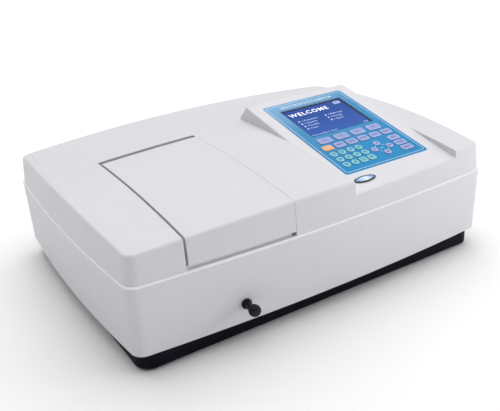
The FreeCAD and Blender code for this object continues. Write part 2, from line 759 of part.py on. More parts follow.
def rocker_pivot(radius, half):
    return rod(SWITCH_X - half, BAY_Y - ROCKER_PIVOT, BAY_MID_Z, (1, 0, 0), radius, 2 * half)


def power_inlet():
    """Inlet with a switch bezel beside it, on one flange."""
    z = BAY_MID_Z
    left, right = SWITCH_X - SWITCH_BODY[0] - FLANGE_END, INLET_X + INLET_BODY[0] + FLANGE_END
    flange = round_box(left, right, 0, 2 * FLANGE_HALF_Z, 0, FLANGE_T, FLANGE_T)
    flange.rotate(Vector(0, 0, 0), Vector(1, 0, 0), 90)
    flange.translate(Vector(0, BAY_Y + FLANGE_T, z - FLANGE_HALF_Z))
    back = BAY_Y - ENTRY_DEPTH
    floor, front = back + ENTRY_BACK, BAY_Y + FLANGE_T + EPS
    bodies = [bay_block(INLET_X, INLET_BODY, back, BAY_Y), bay_block(SWITCH_X, SWITCH_BODY, back, BAY_Y)]
    shape = fuse([flange] + bodies)
    shape = shape.cut(bay_block(INLET_X, INLET_MOUTH, floor, front))
    shape = shape.cut(bay_block(SWITCH_X, SWITCH_MOUTH, floor, front))
    shape = shape.cut(rocker_pivot(PIVOT_R + RUN_FIT, SWITCH_BODY[0] + EPS))
    half_x, half_z = BLADE_SIZE
    blades = [(-BLADE_SPREAD, -BLADE_DROP), (BLADE_SPREAD, -BLADE_DROP), (0, BLADE_DROP)]
    for dx, dz in blades:
        x, bz = INLET_X + dx, z + dz
        shape = shape.fuse(box(x - half_x, x + half_x, floor, BAY_Y - EPS, bz - half_z, bz + half_z))
    return shape.removeSplitter()


def power_switch():
    """Rocker, tipped to its off side at rest."""
    points = [(BAY_Y + y, BAY_MID_Z + z) for y, z in ROCKER_OUTLINE]
    rocker = prism_yz(points, SWITCH_X - ROCKER_HALF, SWITCH_X + ROCKER_HALF)
    rocker.rotate(Vector(SWITCH_X, BAY_Y - ROCKER_PIVOT, BAY_MID_Z), Vector(1, 0, 0), -SWITCH_TILT)
    return rocker.fuse(rocker_pivot(PIVOT_R, PIVOT_HALF)).removeSplitter()


def serial_port():
    plate = bay_block(SERIAL_X, SERIAL_PLATE, BAY_Y, BAY_Y + EPS)
    shell = bay_block(SERIAL_X, SERIAL_SHELL, BAY_Y - SERIAL_BEHIND, BAY_Y + SERIAL_PROUD)
    cavity = bay_block(SERIAL_X, SERIAL_MOUTH, BAY_Y + EPS / 2, BAY_Y + SERIAL_PROUD + EPS)
    port = fuse([plate, shell]).cut(cavity)
    offset, radius, length = JACK_NUT
    for x in (SERIAL_X - offset, SERIAL_X + offset):
        port = port.fuse(rod(x, BAY_Y, BAY_MID_Z, (0, 1, 0), radius, length))
    return port.removeSplitter()


def usb_port():
    body = bay_block(USB_X, USB_BODY, BAY_Y - USB_BEHIND, BAY_Y + USB_PROUD)
    mouth = bay_block(USB_X, USB_MOUTH, BAY_Y - USB_DEPTH, BAY_Y + USB_PROUD + EPS)
    half, low, high = USB_TONGUE
    tongue = box(USB_X - half, USB_X + half, BAY_Y - USB_DEPTH, BAY_Y - EPS / 2,
                 BAY_MID_Z + low, BAY_MID_Z + high)
    return body.cut(mouth).fuse(tongue).removeSplitter()


def fan_frame():
    y0, y1 = BAY_Y - WALL - FAN_T, BAY_Y - WALL
    z = BAY_MID_Z
    frame = bay_block(FAN_X, (FAN_HALF, FAN_HALF), y0, y1)
    frame = frame.cut(rod(FAN_X, y0 - EPS, z, (0, 1, 0), FAN_BORE, FAN_T + 2 * EPS))
    frame = frame.fuse(rod(FAN_X, y0, z, (0, 1, 0), HUB_R, HUB_PLATE))
    for angle in (90, 210, 330):
        arm = box(FAN_X, FAN_X + FAN_BORE + EPS, y0, y0 + ARM_T, z - ARM_HALF, z + ARM_HALF)
        arm.rotate(Vector(FAN_X, y0, z), Vector(0, 1, 0), angle)
        frame = frame.fuse(arm)
    return frame.fuse(rod(FAN_X, y0, z, (0, 1, 0), SPINDLE_R, SPINDLE_LEN)).removeSplitter()


def fan_rotor():
    y0 = BAY_Y - WALL - FAN_T + ROTOR_GAP
    depth = FAN_T - ROTOR_SPARE
    z = BAY_MID_Z
    reach = depth / 2 - BLADE_HALF
    rotor = rod(FAN_X, y0, z, (0, 1, 0), HUB_R, depth)
    for i in range(BLADES):
        blade = box(HUB_R - 2 * EPS, ROTOR_R, -BLADE_HALF, BLADE_HALF, -reach, reach)
        blade.rotate(Vector(0, 0, 0), Vector(1, 0, 0), BLADE_ANGLE)
        blade.rotate(Vector(0, 0, 0), Vector(0, 0, 1), 360.0 * i / BLADES)
        blade.rotate(Vector(0, 0, 0), Vector(1, 0, 0), 90)
        blade.translate(Vector(FAN_X, y0 + depth / 2, z))
        rotor = rotor.fuse(blade)
    bore = rod(FAN_X, y0 - EPS, z, (0, 1, 0), SPINDLE_R + RUN_FIT, SPINDLE_LEN - SPINDLE_R)
    return rotor.cut(bore).removeSplitter()


def open_case(x0, x1, y0, y1, top, wall):
    outer = round_box(x0, x1, y0, y1, BASE_WALL, top, CASE_ROUND)
    inner = round_box(x0 + wall, x1 - wall, y0 + wall, y1 - wall, BASE_WALL + wall, top + EPS, CASE_INNER_ROUND)
    return outer.cut(inner)


def slit(x, y):
    return rod(x - SLIT_REACH / 2, y, BEAM_Z, (1, 0, 0), SLIT_R, SLIT_REACH)


def monochromator_case():
    case = open_case(*CASE, CASE_TOP, CASE_WALL)
    case = case.fuse(rod(GRATING_X, GRATING_Y, BASE_WALL, (0, 0, 1), POST_R, POST_H))
    case = case.cut(rod(GRATING_X, GRATING_Y, POST_H / 2, (0, 0, 1), AXLE_R + RUN_FIT, POST_H))
    for x, y in MIRRORS:
        case = case.fuse(box(x - MIRROR_HALF, x + MIRROR_HALF, y - PLATE_HALF, y + PLATE_HALF,
                             BASE_WALL, MIRROR_TOP))
    return case.cut(slit(CASE[0], BEAM_Y)).cut(slit(CASE[1], LAMP_Y)).removeSplitter()


def grating_table():
    top = BASE_WALL + POST_H
    radius, thick = TURNTABLE
    low = top + EPS + thick
    axle = rod(GRATING_X, GRATING_Y, top + 2 * EPS - AXLE_LEN, (0, 0, 1), AXLE_R, AXLE_LEN)
    table = rod(GRATING_X, GRATING_Y, top + EPS, (0, 0, 1), radius, thick)
    plate = box(GRATING_X - GRATING_HALF, GRATING_X + GRATING_HALF,
                GRATING_Y - PLATE_HALF, GRATING_Y + PLATE_HALF, low, low + GRATING_H)
    return fuse([axle, table, plate])


def lamp_house():
    case = open_case(*LAMP_CASE_X, LAMP_Y - LAMP_CASE_HALF, LAMP_Y + LAMP_CASE_HALF, LAMP_CASE_TOP, WALL)
    return case.cut(slit(LAMP_CASE_X[0], LAMP_Y))


def tungsten_lamp():
    z = BASE_WALL + WALL
    parts = []
    for radius, height in (LAMP_FOOT, LAMP_CAP, LAMP_BULB):
        parts.append(rod(LAMP_X, LAMP_Y, z, (0, 0, 1), radius, height))
        z += height
    parts[-1] = parts[-1].makeFillet(BULB_ROUND, level_edges(parts[-1], z))
    return fuse(parts)


def detector():
    face = CHAMBER_L - SNOUT_LEN
    back = face - DETECTOR_LEN
    half_y, half_z = DETECTOR_HALF
    bore_r, bore_len = DETECTOR_BORE
    block = box(back, face, BEAM_Y - half_y, BEAM_Y + half_y, BEAM_Z - half_z, BEAM_Z + half_z)
    snout = rod(face, BEAM_Y, BEAM_Z, (1, 0, 0), SNOUT_R, SNOUT_LEN)
    bore = rod(CHAMBER_L + EPS - bore_len, BEAM_Y, BEAM_Z, (1, 0, 0), bore_r, bore_len)
    leg = box(back + LEG_INSET, face - LEG_INSET, BEAM_Y - LEG_HALF, BEAM_Y + LEG_HALF,
              BASE_WALL, BEAM_Z - half_z)
    return fuse([block, snout, leg]).cut(bore)


def board_on_posts(area, post, inset):
    """A circuit board on four stand-offs, and the height of its upper face."""
    x0, x1, y0, y1 = area
    radius, height = post
    z = BASE_WALL + height
    parts = [box(x0, x1, y0, y1, z, z + PCB_T)]
    for x in (x0 + inset, x1 - inset):
        for y in (y0 + inset, y1 - inset):
            parts.append(rod(x, y, BASE_WALL, (0, 0, 1), radius, height))
    return parts, z + PCB_T


def main_board():
    parts, z = board_on_posts(MAIN_BOARD, MAIN_POST, CASE_ROUND)
    for x, y, size in CHIPS:
        half = size / 2
        parts.append(box(x - half, x + half, y - half, y + half, z, z + CHIP_T))
    return fuse(parts)


def power_supply():
    parts, z = board_on_posts(POWER_BOARD, POWER_POST, POWER_POST_INSET)
    for x0, x1, y0, y1, height in (TRANSFORMER, HEAT_SINK):
        parts.append(box(x0, x1, y0, y1, z, z + height))
    radius, height = CAPACITOR
    for y in CAPACITOR_YS:
        parts.append(rod(CAPACITOR_X, y, z, (0, 0, 1), radius, height))
    return fuse(parts)


def main():
    os.makedirs("parts", exist_ok=True)
    save("base_tray", base_tray())
    save("rubber_feet", rubber_feet())
    save("lower_housing", lower_housing())
    save("case_screws", Part.makeCompound(bay_screws()))
    save("top_cover", top_cover())
    save("keypad_overlay", keypad_overlay())
    save("lcd_module", lcd_module())
    save("keypad_board", keypad_board())
    save("badge", badge())
    for key in all_keys():
        save(key.name, key_cap(key))
    save("lid", lid())
    save("hinge_pins", Part.makeCompound(pins()))
    save("sample_chamber", sample_chamber())
    save("chamber_seal", chamber_seal())
    save("beam_windows", Part.makeCompound(beam_windows()))
    save("carriage_rails", Part.makeCompound(carriage_rails()))
    save("cell_carriage", cell_carriage())
    save("rod_bushing", rod_bushing())
    save("pull_rod", pull_rod())
    save("pull_knob", pull_knob())
    save("power_inlet", power_inlet())
    save("power_switch", power_switch())
    save("data_ports", Part.makeCompound([serial_port(), usb_port()]))
    save("fan_frame", fan_frame())
    save("fan_rotor", fan_rotor())
    save("monochromator_case", monochromator_case())
    save("grating_table", grating_table())
    save("lamp_house", lamp_house())
    save("tungsten_lamp", tungsten_lamp())
    save("detector", detector())
    save("main_board", main_board())
    save("power_supply", power_supply())


main()
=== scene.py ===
import json
import math

import bmesh
import bpy
from mathutils import Matrix, Vector


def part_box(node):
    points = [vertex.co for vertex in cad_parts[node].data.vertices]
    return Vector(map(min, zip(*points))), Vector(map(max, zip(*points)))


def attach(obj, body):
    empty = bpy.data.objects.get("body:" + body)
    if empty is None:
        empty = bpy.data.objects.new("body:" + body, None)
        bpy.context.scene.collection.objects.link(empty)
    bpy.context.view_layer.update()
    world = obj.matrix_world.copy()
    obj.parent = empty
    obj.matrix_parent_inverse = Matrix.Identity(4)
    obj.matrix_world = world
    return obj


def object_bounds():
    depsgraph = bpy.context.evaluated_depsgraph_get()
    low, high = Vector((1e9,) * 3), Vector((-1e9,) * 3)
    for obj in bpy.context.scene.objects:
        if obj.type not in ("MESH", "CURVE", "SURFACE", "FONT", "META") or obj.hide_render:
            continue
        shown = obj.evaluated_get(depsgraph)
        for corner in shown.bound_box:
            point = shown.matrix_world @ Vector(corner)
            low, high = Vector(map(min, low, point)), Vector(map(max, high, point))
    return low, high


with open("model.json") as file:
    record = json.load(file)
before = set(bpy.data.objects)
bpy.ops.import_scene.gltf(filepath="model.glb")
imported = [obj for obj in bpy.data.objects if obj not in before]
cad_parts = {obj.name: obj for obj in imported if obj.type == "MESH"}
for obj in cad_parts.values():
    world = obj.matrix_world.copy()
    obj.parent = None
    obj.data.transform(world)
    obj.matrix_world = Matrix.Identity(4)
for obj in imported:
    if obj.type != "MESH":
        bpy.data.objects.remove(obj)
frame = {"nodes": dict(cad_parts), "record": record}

CAD_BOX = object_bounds()
NODES = frame["nodes"]
RECORD = frame["record"]
BODY_OF = {n: b for b, ns in RECORD["behaviour"]["bodies"].items() for n in ns}
SLOT_OF = {row["node"]: row["material_slot"] for row in RECORD["subparts"]}
MM = 0.001

# The console's plane comes from a key's travel, which is square to it
KEY_NAMES = sorted(n for n in NODES if n.startswith("key_"))
TRAVEL = next(j for j in RECORD["behaviour"]["joints"] if j["child"] == BODY_OF["key_1"])
NORMAL = -Vector(TRAVEL["axis"]).normalized()
UPSLOPE = Vector((0, NORMAL.z, -NORMAL.y))
ACROSS = Vector((1, 0, 0))
PRINT_LIFT = 0.03 * MM
PRINT_T = 0.05 * MM
PRINT_BASE = PRINT_LIFT - PRINT_T / 2


# ---------------------------------------------------------------- materials

# Most of a noise texture's values lie between these two
NOISE_LOW = 0.3
NOISE_HIGH = 0.7

WHITE = (1.0, 1.0, 1.0)
CLOUD_SHADE = 0.975
SPECK_TONE = (0.93, 0.93, 0.94)
# Painted highlight: the tone and soft start of a paler band painted on the housing lip's chamfer,
# standing in for the light it catches
PAINTED_HIGHLIGHT_TONE = (0.97, 0.97, 0.98)
HIGHLIGHT_BLEND = 0.3 * MM
INK_SHADE = 0.86
BADGE_WAVE = 0.35


class Mat:
    """A node material being built: short calls that add a node and link it."""

    def __init__(self, name):
        self.material = bpy.data.materials.new(name)
        self.material.use_nodes = True
        self.tree = self.material.node_tree
        self.tree.nodes.clear()
        self.shader = self.add("ShaderNodeBsdfPrincipled")
        output = self.add("ShaderNodeOutputMaterial")
        self.link(self.shader.outputs[0], output.inputs[0])
        self.coords = self.add("ShaderNodeTexCoord").outputs["Object"]

    def add(self, kind, **values):
        node = self.tree.nodes.new(kind)
        for key, value in values.items():
            setattr(node, key, value)
        return node

    def link(self, source, target):
        self.tree.links.new(source, target)

    def set(self, **values):
        for key, value in values.items():
            self.shader.inputs[key.replace("_", " ")].default_value = value

    def noise(self, scale, detail=2.0, rough=0.5, stretch=None):
        node = self.add("ShaderNodeTexNoise")
        node.inputs["Scale"].default_value = scale
        node.inputs["Detail"].default_value = detail
        node.inputs["Roughness"].default_value = rough
        self.link(self.stretched(stretch), node.inputs["Vector"])
        return node.outputs[0]

    def stretched(self, stretch):
        if stretch is None:
            return self.coords
        mapping = self.add("ShaderNodeMapping")
        mapping.inputs["Scale"].default_value = stretch
        self.link(self.coords, mapping.inputs["Vector"])
        return mapping.outputs[0]

    def cells(self, scale):
        node = self.add("ShaderNodeTexVoronoi")
        node.inputs["Scale"].default_value = scale
        self.link(self.coords, node.inputs["Vector"])
        return node.outputs["Distance"]

    def ramp(self, source, stops):
        node = self.add("ShaderNodeValToRGB")
        ramp = node.color_ramp
        while len(ramp.elements) < len(stops):
            ramp.elements.new(0.5)
        for element, (place, colour) in zip(ramp.elements, stops):
            element.position = place
            element.color = (*colour, 1)
        self.link(source, node.inputs[0])
        return node.outputs[0]

    def mottle(self, source, dark, light):
        """Two tones that follow a noise."""
        return self.ramp(source, [(NOISE_LOW, dark), (NOISE_HIGH, light)])

    def mix(self, factor, first, second, blend="MIX"):
        node = self.add("ShaderNodeMix", data_type="RGBA", blend_type=blend)
        if isinstance(factor, float):
            node.inputs[0].default_value = factor
        else:
            self.link(factor, node.inputs[0])
        for socket, value in ((node.inputs[6], first), (node.inputs[7], second)):
            if isinstance(value, tuple):
                socket.default_value = (*value, 1)
            else:
                self.link(value, socket)
        return node.outputs[2]

    def math(self, operation, first, second):
        node = self.add("ShaderNodeMath", operation=operation)
        for socket, value in zip(node.inputs, (first, second)):
            if isinstance(value, (int, float)):
                socket.default_value = value
            else:
                self.link(value, socket)
        return node.outputs[0]

    def bump(self, height, distance, strength=1.0, below=None):
        node = self.add("ShaderNodeBump")
        node.inputs["Distance"].default_value = distance
        node.inputs["Strength"].default_value = strength
        self.link(height, node.inputs["Height"])
        if below is not None:
            self.link(below, node.inputs["Normal"])
        return node.outputs[0]

    def finish(self, colour=None, rough=None, normal=None, **values):
        if colour is not None:
            self.link(colour, self.shader.inputs["Base Color"])
        if rough is not None:
            self.link(rough, self.shader.inputs["Roughness"])
        if normal is not None:
            self.link(normal, self.shader.inputs["Normal"])
        self.set(**values)
        return self.material


def spread(m, source, low, high):
    """Stretches a noise so that it runs from low to high."""
    node = m.add("ShaderNodeMapRange")
    node.inputs["From Min"].default_value = NOISE_LOW
    node.inputs["From Max"].default_value = NOISE_HIGH
    node.inputs["To Min"].default_value = low
    node.inputs["To Max"].default_value = high
    m.link(source, node.inputs["Value"])
    return node.outputs[0]


def shell_paint(name, tone, highlight_from=None):
    """Off-white moulded shell with a fine textured paint, paler above a given height: a painted
    highlight.
    """
    m = Mat(name)
    cloud = m.noise(6.0, 4.0, 0.6)
    fine = m.noise(420.0, 3.0, 0.6)
    base = m.mottle(cloud, tuple(c * CLOUD_SHADE for c in tone), tone)
    speck = m.ramp(fine, [(0.38, SPECK_TONE), (0.52, WHITE)])
    # Painted highlight: the shell is painted paler from this height up, in place of light on the
    # lip's chamfer
    if highlight_from is not None:
        above = plane_coordinate(m, Vector((0, 0, 1)), highlight_from - HIGHLIGHT_BLEND, highlight_from)
        base = m.mix(above, base, PAINTED_HIGHLIGHT_TONE)
    colour = m.mix(0.55, base, speck, "MULTIPLY")
    peel = m.bump(m.noise(1500.0, 2.0, 0.5), 0.05 * MM, 0.45)
    normal = m.bump(m.cells(900.0), 0.03 * MM, 0.25, peel)
    rough = spread(m, m.noise(30.0, 5.0, 0.6), 0.40, 0.52)
    return m.finish(colour, rough, normal, Specular_IOR_Level=0.42)


def moulded(name, dark, light, rough_low, rough_high, grain=900.0, depth=0.04 * MM, **values):
    """Plain plastic, rubber or powder coat: mottled colour over a fine grain."""
    m = Mat(name)
    colour = m.mottle(m.noise(45.0, 6.0, 0.65), dark, light)
    normal = m.bump(m.noise(grain, 3.0, 0.6), depth, 0.6)
    rough = spread(m, m.noise(80.0, 4.0, 0.6), rough_low, rough_high)
    return m.finish(colour, rough, normal, **values)


def brushed(name, dark, light, along, rough_low=0.22, rough_high=0.38):
    """Ground or brushed metal with fine marks along one axis."""
    m = Mat(name)
    stretch = [900.0, 900.0, 900.0]
    stretch[along] = 18.0
    marks = m.noise(1.0, 4.0, 0.7, tuple(stretch))
    colour = m.ramp(marks, [(0.25, dark), (0.75, light)])
    normal = m.bump(marks, 0.01 * MM, 0.5)
    rough = spread(m, marks, rough_low, rough_high)
    return m.finish(colour, rough, normal, Metallic=1.0)


def plane_coordinate(m, direction, low, high):
    """0 to 1 along a direction of the object's own space."""
    dot = m.add("ShaderNodeVectorMath", operation="DOT_PRODUCT")
    m.link(m.coords, dot.inputs[0])
    dot.inputs[1].default_value = direction
    node = m.add("ShaderNodeMapRange")
    node.inputs["From Min"].default_value = low
    node.inputs["From Max"].default_value = high
    m.link(dot.outputs["Value"], node.inputs["Value"])
    return node.outputs[0]


def overlay_film():
    """Printed film: light blue at the upper left, deeper to the lower right."""
    m = Mat("overlay_film")
    low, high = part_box("keypad_overlay")
    corners = [Vector((low[0], high[1], high[2])), Vector((high[0], low[1], low[2]))]
    direction = ACROSS * 0.35 - UPSLOPE * 0.94
    place = plane_coordinate(m, direction, corners[0].dot(direction), corners[1].dot(direction))
    colour = m.ramp(place, [(0.0, (0.24, 0.45, 0.70)), (0.35, (0.060, 0.27, 0.52)),
                            (0.75, (0.018, 0.26, 0.54)), (1.0, (0.012, 0.25, 0.53))])
    sheen = m.mottle(m.noise(35.0, 3.0, 0.6), (0.95, 0.95, 0.95), WHITE)
    colour = m.mix(0.6, colour, sheen, "MULTIPLY")
    normal = m.bump(m.noise(2200.0, 2.0, 0.5), 0.02 * MM, 0.35)
    rough = spread(m, m.noise(60.0, 4.0, 0.6), 0.32, 0.44)
    return m.finish(colour, rough, normal, Specular_IOR_Level=0.10)


def lcd_screen():
    """Blue backlit screen, brighter towards the bottom."""
    m = Mat("lcd_screen")
    low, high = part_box("lcd_module")
    top = Vector((0, high[1], high[2])).dot(UPSLOPE)
    bottom = Vector((0, low[1], low[2])).dot(UPSLOPE)
    place = plane_coordinate(m, UPSLOPE, bottom, top)
    colour = m.ramp(place, [(0.0, (0.012, 0.070, 0.29)), (0.5, (0.004, 0.045, 0.23)),
                            (1.0, (0.002, 0.030, 0.19))])
    cloud = m.mottle(m.noise(22.0, 2.0, 0.5), (0.9, 0.9, 0.92), WHITE)
    colour = m.mix(0.8, colour, cloud, "MULTIPLY")
    m.link(colour, m.shader.inputs["Emission Color"])
    rough = spread(m, m.noise(50.0, 3.0, 0.6), 0.10, 0.16)
    normal = m.bump(m.noise(1800.0, 1.0, 0.5), 0.01 * MM, 0.15)
    return m.finish(colour, rough, normal, Emission_Strength=0.6, Specular_IOR_Level=0.06)


def printed(name, colour, glow=0.0):
    """Screen-printed ink, slightly uneven, which glows where it is part of the display."""
    m = Mat(name)
    thin = tuple(c * INK_SHADE for c in colour)
    tone = m.ramp(m.noise(260.0, 4.0, 0.7), [(0.25, thin), (0.6, colour)])
    normal = m.bump(m.noise(1800.0, 2.0, 0.5), 0.01 * MM, 0.3)
    if glow:
        m.link(tone, m.shader.inputs["Emission Color"])
        m.set(Emission_Strength=glow)
    return m.finish(tone, spread(m, m.noise(90.0, 3.0, 0.5), 0.36, 0.46), normal)


def badge_face():
    """Domed plain badge: pale at the middle, blue towards its rim."""
    m = Mat("badge_face")
    low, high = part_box("badge")
    place = plane_coordinate(m, ACROSS, low[0], high[0])
    wave = m.noise(160.0, 1.0, 0.4)
    place = m.math("ADD", place, m.math("MULTIPLY", m.math("SUBTRACT", wave, 0.5), BADGE_WAVE))
    colour = m.ramp(place, [(0.15, (0.06, 0.25, 0.62)), (0.42, (0.42, 0.66, 0.88)),
                            (0.55, (0.72, 0.84, 0.93)), (0.85, (0.08, 0.30, 0.68))])
    normal = m.bump(m.noise(300.0, 2.0, 0.5), 0.02 * MM, 0.3)
    rough = spread(m, m.noise(90.0, 3.0, 0.5), 0.12, 0.2)
    return m.finish(colour, rough, normal, Coat_Weight=0.8, Coat_Roughness=0.05)


def window_glass():
    """Clear glass of the beam windows, with a faint blue tint."""
    m = Mat("window_glass")
    tint = m.mottle(m.noise(80.0, 2.0, 0.5), (0.78, 0.86, 0.95), (0.88, 0.93, 0.98))
    rough = spread(m, m.noise(120.0, 3.0, 0.5), 0.02, 0.06)
    normal = m.bump(m.noise(60.0, 1.0, 0.5), 0.01 * MM, 0.1)
    return m.finish(tint, rough, normal, Transmission_Weight=0.85, IOR=1.46)


def circuit_board():
    """Green board with lighter tracks."""
    m = Mat("circuit_board")
    brick = m.add("ShaderNodeTexBrick")
    brick.inputs["Scale"].default_value = 160.0
    brick.inputs["Color1"].default_value = (0.015, 0.10, 0.05, 1)
    brick.inputs["Color2"].default_value = (0.02, 0.14, 0.07, 1)
    brick.inputs["Mortar"].default_value = (0.05, 0.24, 0.12, 1)
    m.link(m.coords, brick.inputs["Vector"])
    tone = m.mottle(m.noise(90.0, 3.0, 0.6), (0.8, 0.8, 0.8), WHITE)
    colour = m.mix(0.7, brick.outputs["Color"], tone, "MULTIPLY")
    normal = m.bump(brick.outputs["Fac"], 0.03 * MM, 0.4)
    return m.finish(colour, spread(m, m.noise(70.0, 3.0, 0.5), 0.3, 0.45), normal)


SHELL_TONE = (0.735, 0.73, 0.765)
HOUSING_TONE = (0.74, 0.735, 0.765)
# Band at the top of the lower housing's lip that gets the painted highlight
LIP_HIGHLIGHT_DEPTH = 2.1 * MM
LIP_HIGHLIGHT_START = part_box("lower_housing")[1][2] - LIP_HIGHLIGHT_DEPTH
PAINT = {
    "cover_shell": shell_paint("cover_shell", SHELL_TONE),
    "lid_shell": shell_paint("lid_shell", SHELL_TONE),
    "housing_shell": shell_paint("housing_shell", HOUSING_TONE, LIP_HIGHLIGHT_START),
    "black_chassis": moulded("black_chassis", (0.003, 0.003, 0.008), (0.006, 0.006, 0.014),
                             0.5, 0.62, 700.0, Specular_IOR_Level=0.08),
    "foot_rubber": moulded("foot_rubber", (0.012, 0.012, 0.012), (0.03, 0.03, 0.03),
                           0.7, 0.85, 500.0, 0.08 * MM),
    "seal_rubber": moulded("seal_rubber", (0.008, 0.008, 0.008), (0.02, 0.02, 0.02),
                           0.8, 0.95, 350.0, 0.2 * MM),
    "chamber_black": moulded("chamber_black", (0.008, 0.008, 0.009), (0.016, 0.016, 0.018),
                             0.6, 0.75, 500.0, 0.08 * MM),
    "knob_black": moulded("knob_black", (0.005, 0.005, 0.007), (0.010, 0.010, 0.013),
                          0.22, 0.34, 1200.0, 0.01 * MM, Specular_IOR_Level=0.2),
    "connector_black": moulded("connector_black", (0.006, 0.006, 0.007), (0.014, 0.014, 0.016),
                               0.4, 0.55, 900.0, Specular_IOR_Level=0.25),
    "carriage_anodised": moulded("carriage_anodised", (0.018, 0.018, 0.02), (0.032, 0.032, 0.036),
                                 0.34, 0.46, 1500.0, 0.02 * MM, Metallic=0.6),
    "cast_case": moulded("cast_case", (0.03, 0.03, 0.032), (0.05, 0.05, 0.054),
                         0.5, 0.65, 450.0, 0.1 * MM, Metallic=0.5),
    "lamp_ceramic": moulded("lamp_ceramic", (0.55, 0.52, 0.45), (0.68, 0.65, 0.58),
                            0.4, 0.6, 700.0),
    "screw_steel": brushed("screw_steel", (0.35, 0.35, 0.36), (0.62, 0.62, 0.63), 0),
    "pin_steel": brushed("pin_steel", (0.42, 0.42, 0.43), (0.66, 0.66, 0.67), 0),
    "rail_steel": brushed("rail_steel", (0.42, 0.42, 0.43), (0.66, 0.66, 0.67), 1),
    "port_metal": brushed("port_metal", (0.45, 0.45, 0.44), (0.66, 0.66, 0.64), 0),
    "sheet_steel": brushed("sheet_steel", (0.4, 0.4, 0.41), (0.6, 0.6, 0.61), 2),
    "overlay_film": overlay_film(),
    "lcd_screen": lcd_screen(),
    "circuit_board": circuit_board(),
    "window_glass": window_glass(),
    "badge_plate": moulded("badge_plate", (0.008, 0.008, 0.012), (0.015, 0.015, 0.02),
                           0.2, 0.3, 900.0, 0.01 * MM),
    "key_lavender": printed("key_lavender", (0.27, 0.34, 0.68)),
    "key_teal": printed("key_teal", (0.10, 0.43, 0.56)),
    "key_orange": printed("key_orange", (0.83, 0.36, 0.14)),
}
INK_PALE = printed("ink_pale", (0.62, 0.80, 0.93))
INK_LILAC = printed("ink_lilac", (0.62, 0.58, 0.86))
INK_MINT = printed("ink_mint", (0.42, 0.80, 0.78))
INK_PEACH = printed("ink_peach", (0.95, 0.62, 0.40))
INK_DARK = printed("ink_dark", (0.05, 0.07, 0.30))
INK_GREEN = printed("ink_green", (0.01, 0.16, 0.20))
INK_WHITE = printed("ink_white", (0.82, 0.90, 0.96))
LCD_PIXEL = printed("lcd_pixel", (0.80, 0.84, 0.90), 0.6)
LCD_DIM = printed("lcd_dim", (0.42, 0.50, 0.68), 0.4)
BADGE_FACE = badge_face()
PIN_GOLD = brushed("pin_gold", (0.62, 0.44, 0.16), (0.80, 0.60, 0.26), 1)


def dress_nodes():
    """Gives every CAD node the material of its slot."""
    for name, node in NODES.items():
        node.data.materials.clear()
        node.data.materials.append(PAINT[SLOT_OF[name]])


# ---------------------------------------------------------------- pieces

def height_of(node):
    """How far a node reaches along the console's normal."""
    return max(v.co.dot(NORMAL) for v in NODES[node].data.vertices)


def upslope_span(node):
    """How far down and how far up the console's slope a node reaches."""
    rows = [v.co.dot(UPSLOPE) for v in NODES[node].data.vertices]
    return min(rows), max(rows)


def console_matrix(x, along, height):
    """Puts a flat drawing, up the slope being its +Y, at a place on the console."""
    origin = ACROSS * x + UPSLOPE * along + NORMAL * height
    columns = Matrix((ACROSS, UPSLOPE, NORMAL)).transposed().to_4x4()
    columns.translation = origin
    return columns


def centre_of(node):
    """Middle of a node's box, across and up the slope."""
    low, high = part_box(node)
    middle = (Vector(low) + Vector(high)) / 2
    return middle.x, middle.dot(UPSLOPE)


def add_object(name, mesh, material, body):
    """Puts a piece in the scene, riding on its body."""
    piece = bpy.data.objects.new(name, mesh)
    bpy.context.scene.collection.objects.link(piece)
    piece.data.materials.append(material)
    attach(piece, body)
    return piece


def rounded_loop(half_x, half_y, radius, steps=6):
    """Corner-rounded rectangle as a list of points, anticlockwise."""
    radius = min(radius, half_x, half_y)
    points = []
    for corner, (sx, sy) in enumerate(((1, 1), (-1, 1), (-1, -1), (1, -1))):
        for i in range(steps + 1):
            angle = math.radians(90 * (corner + i / steps))
            x = sx * (half_x - radius) + radius * math.cos(angle)
            y = sy * (half_y - radius) + radius * math.sin(angle)
            points.append((x, y))
    return points


def ring_mesh(bm, outer, inner, low, high):
    """A closed raised band between two loops with the same number of points."""
    count = len(outer)
    rows = []
    for loop, z in ((outer, low), (outer, high), (inner, high), (inner, low)):
        rows.append([bm.verts.new((x, y, z)) for x, y in loop])
    for a, b in zip(rows, rows[1:] + rows[:1]):
        for i in range(count):
            j = (i + 1) % count
            bm.faces.new((a[i], a[j], b[j], b[i]))


def skin_rings(bm, rings):
    """Closes a stack of rings of vertices with its sides and two ends."""
    count = len(rings[0])
    for a, b in zip(rings, rings[1:]):
        for i in range(count):
            j = (i + 1) % count
            bm.faces.new((a[i], a[j], b[j], b[i]))
    bm.faces.new(rings[0][::-1])
    bm.faces.new(rings[-1])


def slab_mesh(bm, loop, low, high):
    """A closed flat plate with the outline of a loop."""
    skin_rings(bm, [[bm.verts.new((x, y, z)) for x, y in loop] for z in (low, high)])


def shift_loop(loop, dx, dy):
    return [(x + dx, y + dy) for x, y in loop]


def bm_to_mesh(bm, name):
    bmesh.ops.recalc_face_normals(bm, faces=bm.faces)
    mesh = bpy.data.meshes.new(name)
    bm.to_mesh(mesh)
    bm.free()
    return mesh


